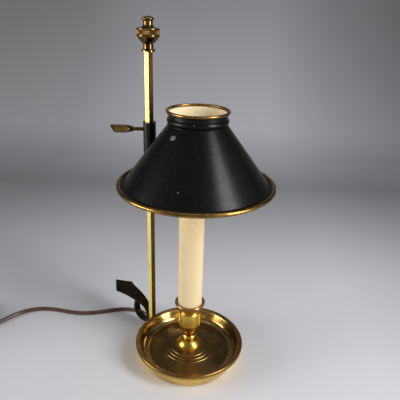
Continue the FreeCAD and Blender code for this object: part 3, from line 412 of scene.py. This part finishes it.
def inside_mask(tree, place, floor_tilt):
    """1 where a turned piece's surface faces up or towards the candle's axis, else 0."""
    level = tree.nodes.new("ShaderNodeVectorMath")
    level.operation = "MULTIPLY"
    level.inputs[1].default_value = (-1.0, -1.0, 0.0)
    tree.links.new(place, level.inputs[0])
    surface = tree.nodes.new("ShaderNodeNewGeometry")
    inward = tree.nodes.new("ShaderNodeVectorMath")
    inward.operation = "DOT_PRODUCT"
    tree.links.new(surface.outputs["True Normal"], inward.inputs[0])
    tree.links.new(level.outputs["Vector"], inward.inputs[1])
    upward = tree.nodes.new("ShaderNodeVectorMath")
    upward.operation = "DOT_PRODUCT"
    upward.inputs[1].default_value = (0.0, 0.0, 1.0)
    tree.links.new(surface.outputs["True Normal"], upward.inputs[0])
    tests = []
    for source, limit in ((inward.outputs["Value"], 0.0), (upward.outputs["Value"], floor_tilt)):
        test = tree.nodes.new("ShaderNodeMath")
        test.operation = "GREATER_THAN"
        test.inputs[1].default_value = limit
        tree.links.new(source, test.inputs[0])
        tests.append(test)
    either = tree.nodes.new("ShaderNodeMath")
    either.operation = "MAXIMUM"
    tree.links.new(tests[0].outputs["Value"], either.inputs[0])
    tree.links.new(tests[1].outputs["Value"], either.inputs[1])
    return either.outputs["Value"]


def mixed(tree, factor, first, second):
    """First where factor is 0, second where it is 1."""
    node = tree.nodes.new("ShaderNodeMix")
    node.data_type = "RGBA"
    tree.links.new(factor, node.inputs["Factor"])
    tree.links.new(first, node.inputs["A"])
    tree.links.new(second, node.inputs["B"])
    return node.outputs["Result"]


dish_brass, tree, shader, place, gold = brass(
    "dish_brass", (0.82, 0.55, 0.085), (0.74, 0.48, 0.070), (0.54, 0.33, 0.050), 0.24, turning=0.3)
# The brown is partly stain and partly painted dark reflection on the faces that turn up.
stain_and_dark_reflection = ramp(tree, noise(tree, place, 90.0, 8.0, 0.65), [
    (0.3, (0.25, 0.160, 0.056, 1)), (0.7, (0.105, 0.066, 0.027, 1)),
])
# Places on the dish's ramps are the radius in metres times this, so that they run from 0 to 1.
RADIUS_SCALE = 16.0
LIP_EDGE = 0.02262
GROOVE_RADII = (0.0214, 0.0254, 0.0293)
GROOVE_HALF = 0.006
# Multipliers on the brown: painted highlights on the grooves, the floor's edge and the rim's inner line,
# and a painted reflection on the inner wall.
FLOOR = (1.0, 1.0, 1.0, 1)
GROOVE_HIGHLIGHT = (2.3, 2.1, 1.5, 1)
CORNER_HIGHLIGHT = (1.8, 1.7, 1.3, 1)
WALL_REFLECTION = (2.2, 2.25, 2.1, 1)
EDGE_HIGHLIGHT = (3.0, 2.9, 2.2, 1)
LIP = (1.5, 1.3, 1.15, 1)
from_centre = distance_out(tree, place, RADIUS_SCALE)
highlight_bands = [(0.0, FLOOR)]
for groove in GROOVE_RADII:
    middle = groove * RADIUS_SCALE
    highlight_bands += [(middle - GROOVE_HALF, FLOOR), (middle, GROOVE_HIGHLIGHT), (middle + GROOVE_HALF, FLOOR)]
highlight_bands += [
    (0.715, FLOOR), (0.735, CORNER_HIGHLIGHT), (0.755, WALL_REFLECTION), (0.868, WALL_REFLECTION),
    (0.873, EDGE_HIGHLIGHT), (0.880, EDGE_HIGHLIGHT), (0.886, LIP), (1.0, LIP),
]
stain_and_highlights = multiplied(tree, stain_and_dark_reflection, ramp(tree, from_centre, highlight_bands))
top_edge = tree.nodes.new("ShaderNodeMath")
top_edge.operation = "GREATER_THAN"
top_edge.inputs[1].default_value = LIP_EDGE
tree.links.new(height_up(tree, place), top_edge.inputs[0])
with_edge = tree.nodes.new("ShaderNodeMath")
with_edge.operation = "MAXIMUM"
tree.links.new(top_edge.outputs["Value"], with_edge.inputs[0])
tree.links.new(inside_mask(tree, place, 0.5), with_edge.inputs[1])
inside = with_edge.outputs["Value"]
tree.links.new(mixed(tree, inside, gold, stain_and_highlights), shader.inputs["Base Color"])
gloss = ramp(tree, from_centre, [
    (0.0, (0.40, 0.40, 0.40, 1)), (0.70, (0.36, 0.36, 0.36, 1)), (0.76, (0.15, 0.15, 0.15, 1)),
    (0.87, (0.15, 0.15, 0.15, 1)), (0.89, (0.36, 0.36, 0.36, 1)), (1.0, (0.34, 0.34, 0.34, 1)),
])
outer_gloss = tree.nodes.new("ShaderNodeRGB")
outer_gloss.outputs["Color"].default_value = (0.25, 0.25, 0.25, 1.0)
tree.links.new(mixed(tree, inside, outer_gloss.outputs["Color"], gloss), shader.inputs["Roughness"])
dress("dish", dish_brass)
dress("post_lug", dish_brass)

# Milled edge: fine upright ridges rolled into the dish's rim band, coloured darker towards the bottom of
# each groove.
# They stop on both sides of the post, which lies against the band.
RIM_RADIUS = 0.0598
RIM_RIDGES = 200
RIDGE_RISE = 0.0006
RIDGE_FOOT = 0.00002
RIDGE_CREST = 0.30
BAND_END_RISE = 0.00004
BAND_LEVELS = ((0.0195, BAND_END_RISE), (0.0197, RIDGE_RISE), (0.0223, RIDGE_RISE), (0.0225, BAND_END_RISE))
POST_HALF_ANGLE = 0.062
ridge_mesh = bpy.data.meshes.new("rim_milling")
shape = bmesh.new()
half = math.pi / RIM_RIDGES
for ridge in range(RIM_RIDGES):
    angle = 2 * math.pi * ridge / RIM_RIDGES
    if abs(angle - math.pi) < POST_HALF_ANGLE:
        continue
    loops = []
    for height, rise in BAND_LEVELS:
        foot, crest = RIM_RADIUS + RIDGE_FOOT, RIM_RADIUS + rise
        corners = ((-half, foot), (-RIDGE_CREST * half, crest), (RIDGE_CREST * half, crest), (half, foot))
        loops.append([
            shape.verts.new((radius * math.cos(angle + turn), radius * math.sin(angle + turn), height))
            for turn, radius in corners
        ])
    for lower, upper in zip(loops, loops[1:]):
        for n in (0, 1, 2):
            shape.faces.new((lower[n], lower[n + 1], upper[n + 1], upper[n]))
shape.to_mesh(ridge_mesh)
shape.free()
milling_brass, tree, shader, place, gold = brass(
    "milling_brass", (0.90, 0.62, 0.15), (0.80, 0.53, 0.12), (0.60, 0.38, 0.08), 0.32, turning=0)
depth = tree.nodes.new("ShaderNodeMapRange")
depth.inputs["From Min"].default_value = RIM_RADIUS
depth.inputs["From Max"].default_value = RIM_RADIUS + RIDGE_RISE
tree.links.new(distance_out(tree, place, 1.0), depth.inputs["Value"])
groove_darkening = ramp(tree, depth.outputs["Result"], [(0.45, (0.03, 0.018, 0.008, 1)), (0.85, (1.0, 1.0, 1.0, 1))])
tree.links.new(multiplied(tree, gold, groove_darkening), shader.inputs["Base Color"])
milling = add_object("rim_milling", ridge_mesh, milling_brass, smooth=False)
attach(milling, "base")

# Felt, iron weight, rod and nuts: what holds the lamp together underneath and inside.
# The rod's lower nut pulls the weight up under the pan, and the felt is glued below it.
iron, tree, shader, place = start_material("painted_iron")
patchy(tree, shader, place, 120.0, (0.022, 0.022, 0.022), (0.05, 0.048, 0.045))
shader.inputs["Roughness"].default_value = 0.7
grain(tree, shader, noise(tree, place, 350.0), 0.5, 0.0006)
dress("base_weight", iron)
felt, tree, shader, place = start_material("green_felt")
patchy(tree, shader, place, 900.0, (0.010, 0.045, 0.022), (0.022, 0.080, 0.040), 8.0)
shader.inputs["Roughness"].default_value = 0.95
shader.inputs["Sheen Weight"].default_value = 0.4
grain(tree, shader, noise(tree, place, 1800.0, 6.0), 0.6, 0.0004)
dress("felt_pad", felt)
zinc, tree, shader, place = start_material("zinc_plate")
shader.inputs["Metallic"].default_value = 1.0
patchy(tree, shader, place, 150.0, (0.50, 0.49, 0.46), (0.64, 0.63, 0.60))
tree.links.new(spread(tree, noise(tree, place, 500.0), 0.28, 0.45), shader.inputs["Roughness"])
ZINC_PIECES = (
    "threaded_rod", "base_nut", "base_washer", "collar_nut", "bracket_nut", "holder_bracket",
    "finial_stud",
)
for node in ZINC_PIECES:
    dress(node, zinc)

# Stem, bead, cup and collar: turned brass, threaded on the rod one above the other.
# Polish keeps them brighter than the dish, and dirt stays in the creases between them.
# The bowl and bell are painted darker as painted dark reflection and painted shade, and a painted shadow
# lies under the collar.
stem_brass, tree, shader, place, gold = brass(
    "stem_brass", (1.0, 0.72, 0.145), (0.95, 0.64, 0.115), (0.70, 0.43, 0.075), 0.27, 70.0,
    (0.42, 0.78), 0.3)
# Places on the stem's ramp are the height in metres times this.
HEIGHT_SCALE = 12.5
scaled_up = tree.nodes.new("ShaderNodeMath")
scaled_up.operation = "MULTIPLY"
scaled_up.inputs[1].default_value = HEIGHT_SCALE
tree.links.new(height_up(tree, place), scaled_up.inputs[0])
CLEAN = (1.0, 1.0, 1.0, 1)
CREASE = (0.16, 0.10, 0.06, 1)
BOWL_DARK_REFLECTION = (0.62, 0.42, 0.28, 1)
BELL_PAINTED_SHADE = (0.62, 0.55, 0.50, 1)
# Painted shade in this ramp: a painted dark reflection on the bowl, painted shade on the bell, and a
# painted shadow on the cup under the collar (0.786 to 0.84).
grime_and_painted_shade = ramp(tree, scaled_up.outputs["Value"], [
    (0.0, CREASE), (0.214, CREASE), (0.232, BELL_PAINTED_SHADE), (0.308, BELL_PAINTED_SHADE), (0.3175, CREASE),
    (0.327, CLEAN), (0.378, CLEAN), (0.388, CREASE), (0.402, BOWL_DARK_REFLECTION), (0.575, BOWL_DARK_REFLECTION),
    (0.584, CLEAN), (0.770, CLEAN), (0.786, (0.45, 0.32, 0.22, 1)),
    (0.84, (0.40, 0.26, 0.17, 1)), (0.90, CREASE), (1.0, CREASE),
])
tree.links.new(multiplied(tree, gold, grime_and_painted_shade), shader.inputs["Base Color"])
for node in ("stem_foot", "stem_bead", "candle_cup"):
    dress(node, stem_brass)
collar_brass = brass(
    "collar_brass", (0.46, 0.27, 0.145), (0.38, 0.22, 0.115), (0.26, 0.145, 0.075), 0.24, 110.0)[0]
dress("drip_collar", collar_brass)

# Candle tube: ivory plastic sleeve with a soft polish, slipped over the lampholder.
# It is coloured darker amber towards its top, under the shade.
AMBER_START = 0.154
AMBER_FULL = 0.182
ivory, tree, shader, place = start_material("ivory_plastic")
plain = ramp(tree, noise(tree, place, 30.0), [(0.3, (0.70, 0.54, 0.30, 1)), (0.7, (0.76, 0.60, 0.35, 1))])
amber = ramp(tree, noise(tree, place, 260.0, 5.0, 0.65), [
    (0.35, (0.82, 0.66, 0.36, 1)), (0.68, (0.66, 0.42, 0.18, 1)),
])
amber_towards_top = tree.nodes.new("ShaderNodeMapRange")
amber_towards_top.inputs["From Min"].default_value = AMBER_START
amber_towards_top.inputs["From Max"].default_value = AMBER_FULL
amber_towards_top.inputs["To Max"].default_value = 0.85
tree.links.new(height_up(tree, place), amber_towards_top.inputs["Value"])
tree.links.new(mixed(tree, amber_towards_top.outputs["Result"], plain, amber), shader.inputs["Base Color"])
tree.links.new(spread(tree, noise(tree, place, 220.0), 0.34, 0.48), shader.inputs["Roughness"])
shader.inputs["Subsurface Weight"].default_value = 0.15
shader.inputs["Subsurface Radius"].default_value = (0.004, 0.003, 0.002)
shader.inputs["Subsurface Scale"].default_value = 1.0
grain(tree, shader, noise(tree, place, 500.0), 0.06, 0.0003)
dress("candle_tube", ivory)

# Lampholder and bulb: a dark moulding with a brass shell inside the tube, and a frosted bulb.
# The bulb screws in from above and stands out of the tube, under the shade.
phenolic, tree, shader, place = start_material("dark_moulding")
patchy(tree, shader, place, 90.0, (0.02, 0.018, 0.016), (0.035, 0.030, 0.026))
shader.inputs["Roughness"].default_value = 0.4
dress("holder_body", phenolic)
dress("bulb_insulator", phenolic)
contact_brass = brass(
    "contact_brass", (0.76, 0.60, 0.30), (0.64, 0.48, 0.22), (0.45, 0.32, 0.14), 0.22, 200.0)[0]
for node in ("holder_shell", "holder_contact", "clamp_pad", "plug_pins"):
    dress(node, contact_brass)
aluminium, tree, shader, place = start_material("rolled_aluminium")
shader.inputs["Metallic"].default_value = 1.0
patchy(tree, shader, place, 260.0, (0.62, 0.62, 0.61), (0.74, 0.74, 0.73))
shader.inputs["Roughness"].default_value = 0.35
dress("bulb_tip", aluminium)
dress("bulb_cap", aluminium)
frosted, tree, shader, place = start_material("frosted_glass")
patchy(tree, shader, place, 80.0, (0.90, 0.88, 0.82), (0.95, 0.93, 0.88))
shader.inputs["Roughness"].default_value = 0.28
shader.inputs["Transmission Weight"].default_value = 0.35
shader.inputs["IOR"].default_value = 1.45
dress("bulb_glass", frosted)
dress("bulb_mount", frosted)

# Post, screw and finial: a drawn square bar, polished bright, with the side towards the candle painted
# brown as a painted dark reflection, and a turned urn screwed on its top.
post_brass, tree, shader, place, gold = brass(
    "post_brass", (1.0, 0.88, 0.28), (1.0, 0.80, 0.22), (0.86, 0.60, 0.14), 0.38, 40.0,
    (0.40, 0.75), turning=0, relief=0)
drawn = tree.nodes.new("ShaderNodeMapping")
drawn.inputs["Scale"].default_value = (1.0, 1.0, 0.012)
tree.links.new(place, drawn.inputs["Vector"])
grain(tree, shader, noise(tree, drawn.outputs["Vector"], 2600.0, 3.0), 0.10, 0.0001)
# The face towards the candle is painted brown: a painted dark reflection.
surface = tree.nodes.new("ShaderNodeNewGeometry")
candle_facing_side = tree.nodes.new("ShaderNodeVectorMath")
candle_facing_side.operation = "DOT_PRODUCT"
candle_facing_side.inputs[1].default_value = (1.0, 0.0, 0.0)
tree.links.new(surface.outputs["True Normal"], candle_facing_side.inputs[0])
brown_reflection = ramp(tree, noise(tree, place, 60.0, 5.0), [
    (0.3, (0.16, 0.085, 0.030, 1)), (0.7, (0.10, 0.050, 0.020, 1)),
])
tree.links.new(mixed(tree, candle_facing_side.outputs["Value"], gold, brown_reflection), shader.inputs["Base Color"])
dress("square_post", post_brass)
dress("post_screw", post_brass)
finial_brass = brass(
    "finial_brass", (0.25, 0.150, 0.040), (0.16, 0.095, 0.028), (0.055, 0.032, 0.013), 0.12, 90.0,
    (0.36, 0.68), 0)[0]
dress("finial", finial_brass)

# Knurl: fine upright ridges rolled round the finial's band, between its bead edges.
# Dirt in them makes the band duller than the turned brass above and below.
POST_X = -0.0627
KNURL_RIDGES = 60
KNURL_RADIUS = 0.01073
KNURL_RISE = 0.00045
KNURL_LEVELS = ((0.34640, 0.0), (0.34675, KNURL_RISE), (0.35005, KNURL_RISE), (0.35040, 0.0))
RIDGE_PROFILE = (0.0, 0.7, 1.0, 0.7)
knurl_steps = KNURL_RIDGES * len(RIDGE_PROFILE)
knurl_mesh = bpy.data.meshes.new("finial_knurl")
shape = bmesh.new()
loops = []
for height, rise in KNURL_LEVELS:
    row = []
    for turn in range(knurl_steps):
        angle = 2 * math.pi * turn / knurl_steps
        radius = KNURL_RADIUS + rise * RIDGE_PROFILE[turn % len(RIDGE_PROFILE)]
        row.append(shape.verts.new((POST_X + radius * math.cos(angle), radius * math.sin(angle), height)))
    loops.append(row)
for lower, upper in zip(loops, loops[1:]):
    for n in range(knurl_steps):
        m = (n + 1) % knurl_steps
        shape.faces.new((lower[n], lower[m], upper[m], upper[n]))
shape.to_mesh(knurl_mesh)
shape.free()
knurl_brass = brass(
    "knurl_brass", (0.20, 0.115, 0.034), (0.14, 0.080, 0.025), (0.075, 0.042, 0.016), 0.42, 90.0,
    turning=0)[0]
knurl = add_object("finial_knurl", knurl_mesh, knurl_brass, smooth=False)
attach(knurl, "base")

# Handle: one strip of brass left to go brown, bent by hand into a thumb leaf and a finger loop.
# It is screwed to the foot of the post.
brown_brass = brass(
    "brown_brass", (0.055, 0.043, 0.016), (0.036, 0.028, 0.011), (0.018, 0.014, 0.006), 0.26, 80.0,
    turning=0)[0]
dress("handle", brown_brass)

# Shade: spun metal, black outside and cream inside, with rubbed paint and light grey marks of painted
# reflection and painted highlights.
# Brass rings cover its two edges.
SHADE_AXIS = (0.0032, 0.0016, 0.0)
shade_paint, tree, shader, place = start_material("shade_paint")
from_axis = tree.nodes.new("ShaderNodeVectorMath")
from_axis.operation = "SUBTRACT"
from_axis.inputs[1].default_value = SHADE_AXIS
tree.links.new(place, from_axis.inputs[0])
level = tree.nodes.new("ShaderNodeVectorMath")
level.operation = "MULTIPLY"
level.inputs[1].default_value = (1.0, 1.0, 0.0)
tree.links.new(from_axis.outputs["Vector"], level.inputs[0])
facing = tree.nodes.new("ShaderNodeVectorMath")
facing.operation = "DOT_PRODUCT"
surface = tree.nodes.new("ShaderNodeNewGeometry")
tree.links.new(surface.outputs["True Normal"], facing.inputs[0])
tree.links.new(level.outputs["Vector"], facing.inputs[1])
outside = tree.nodes.new("ShaderNodeMath")
outside.operation = "GREATER_THAN"
outside.inputs[1].default_value = 0.0
tree.links.new(facing.outputs["Value"], outside.inputs[0])
black = ramp(tree, noise(tree, place, 650.0, 6.0, 0.7), [
    (0.30, (0.0015, 0.0016, 0.0015, 1)), (0.62, (0.0035, 0.0036, 0.0035, 1)),
    (0.78, (0.040, 0.040, 0.038, 1)),
])
cream = ramp(tree, noise(tree, place, 60.0), [(0.3, (0.90, 0.76, 0.48, 1)), (0.7, (0.96, 0.85, 0.60, 1))])
paint_and_glints = mixed(tree, outside.outputs["Value"], cream, black)


def mark(centre, radii):
    """1 inside a small rough-edged patch round the centre, else 0."""
    away_from = tree.nodes.new("ShaderNodeVectorMath")
    away_from.operation = "SUBTRACT"
    away_from.inputs[1].default_value = centre
    tree.links.new(place, away_from.inputs[0])
    scaled = tree.nodes.new("ShaderNodeVectorMath")
    scaled.operation = "DIVIDE"
    scaled.inputs[1].default_value = radii
    tree.links.new(away_from.outputs["Vector"], scaled.inputs[0])
    distance = tree.nodes.new("ShaderNodeVectorMath")
    distance.operation = "LENGTH"
    tree.links.new(scaled.outputs["Vector"], distance.inputs[0])
    ragged = tree.nodes.new("ShaderNodeMath")
    ragged.operation = "ADD"
    tree.links.new(distance.outputs["Value"], ragged.inputs[0])
    tree.links.new(noise(tree, place, 420.0, 5.0), ragged.inputs[1])
    within = tree.nodes.new("ShaderNodeMath")
    within.operation = "LESS_THAN"
    within.inputs[1].default_value = 1.35
    tree.links.new(ragged.outputs["Value"], within.inputs[0])
    return within.outputs["Value"]


# Where the painted reflection and the painted highlight dots sit, and how far each reaches.
PAINTED_GLINTS = [
    ((0.0044, -0.0311, 0.2643), (0.0036, 0.0030, 0.0030)),
    ((0.0203, -0.0220, 0.2773), (0.0009, 0.0009, 0.0009)),
    ((0.0321, -0.0526, 0.2266), (0.0008, 0.0008, 0.0008)),
    ((0.0110, -0.0350, 0.2580), (0.0006, 0.0006, 0.0006)),
]
glint_colour = ramp(tree, noise(tree, place, 500.0), [
    (0.35, (0.04, 0.04, 0.038, 1)), (0.65, (0.22, 0.22, 0.205, 1)),
])
# Each mark is grey painted on the black: the first a painted reflection, the rest painted highlight dots.
for centre, radii in PAINTED_GLINTS:
    paint_and_glints = mixed(tree, mark(centre, radii), paint_and_glints, glint_colour)
tree.links.new(paint_and_glints, shader.inputs["Base Color"])
shader.inputs["Specular IOR Level"].default_value = 0.20
tree.links.new(spread(tree, noise(tree, place, 300.0, 6.0), 0.25, 0.33), shader.inputs["Roughness"])
grain(tree, shader, noise(tree, place, 1500.0, 4.0), 0.10, 0.0002)
dress("shade_cone", shade_paint)
rim_brass = brass(
    "rim_brass", (0.36, 0.20, 0.050), (0.27, 0.148, 0.040), (0.13, 0.070, 0.022), 0.24, 130.0,
    turning=0)[0]
dress("top_ring", rim_brass)
dress("bottom_rim", rim_brass)

# Thumb key: cast brass gone brown in patches. Its thread goes through the sleeve's wall and
# presses the pad on the post, which holds the shade at any height.
key_brass = brass(
    "key_brass", (0.17, 0.105, 0.032), (0.11, 0.066, 0.022), (0.040, 0.024, 0.010), 0.18, 150.0,
    (0.36, 0.66), 0)[0]
dress("thumb_key", key_brass)

# Sleeve: round steel tube with a square bore, painted with the shade.
# It is soldered through the shade's cone and slides on the post.
sleeve_paint, tree, shader, place = start_material("sleeve_paint")
sleeve_black = ramp(tree, noise(tree, place, 500.0, 6.0, 0.7), [
    (0.3, (0.006, 0.006, 0.006, 1)), (0.75, (0.016, 0.016, 0.016, 1)),
])
tree.links.new(sleeve_black, shader.inputs["Base Color"])
tree.links.new(spread(tree, noise(tree, place, 250.0), 0.22, 0.34), shader.inputs["Roughness"])
shader.inputs["Specular IOR Level"].default_value = 0.3
grain(tree, shader, noise(tree, place, 900.0), 0.08, 0.0003)
dress("sleeve", sleeve_paint)
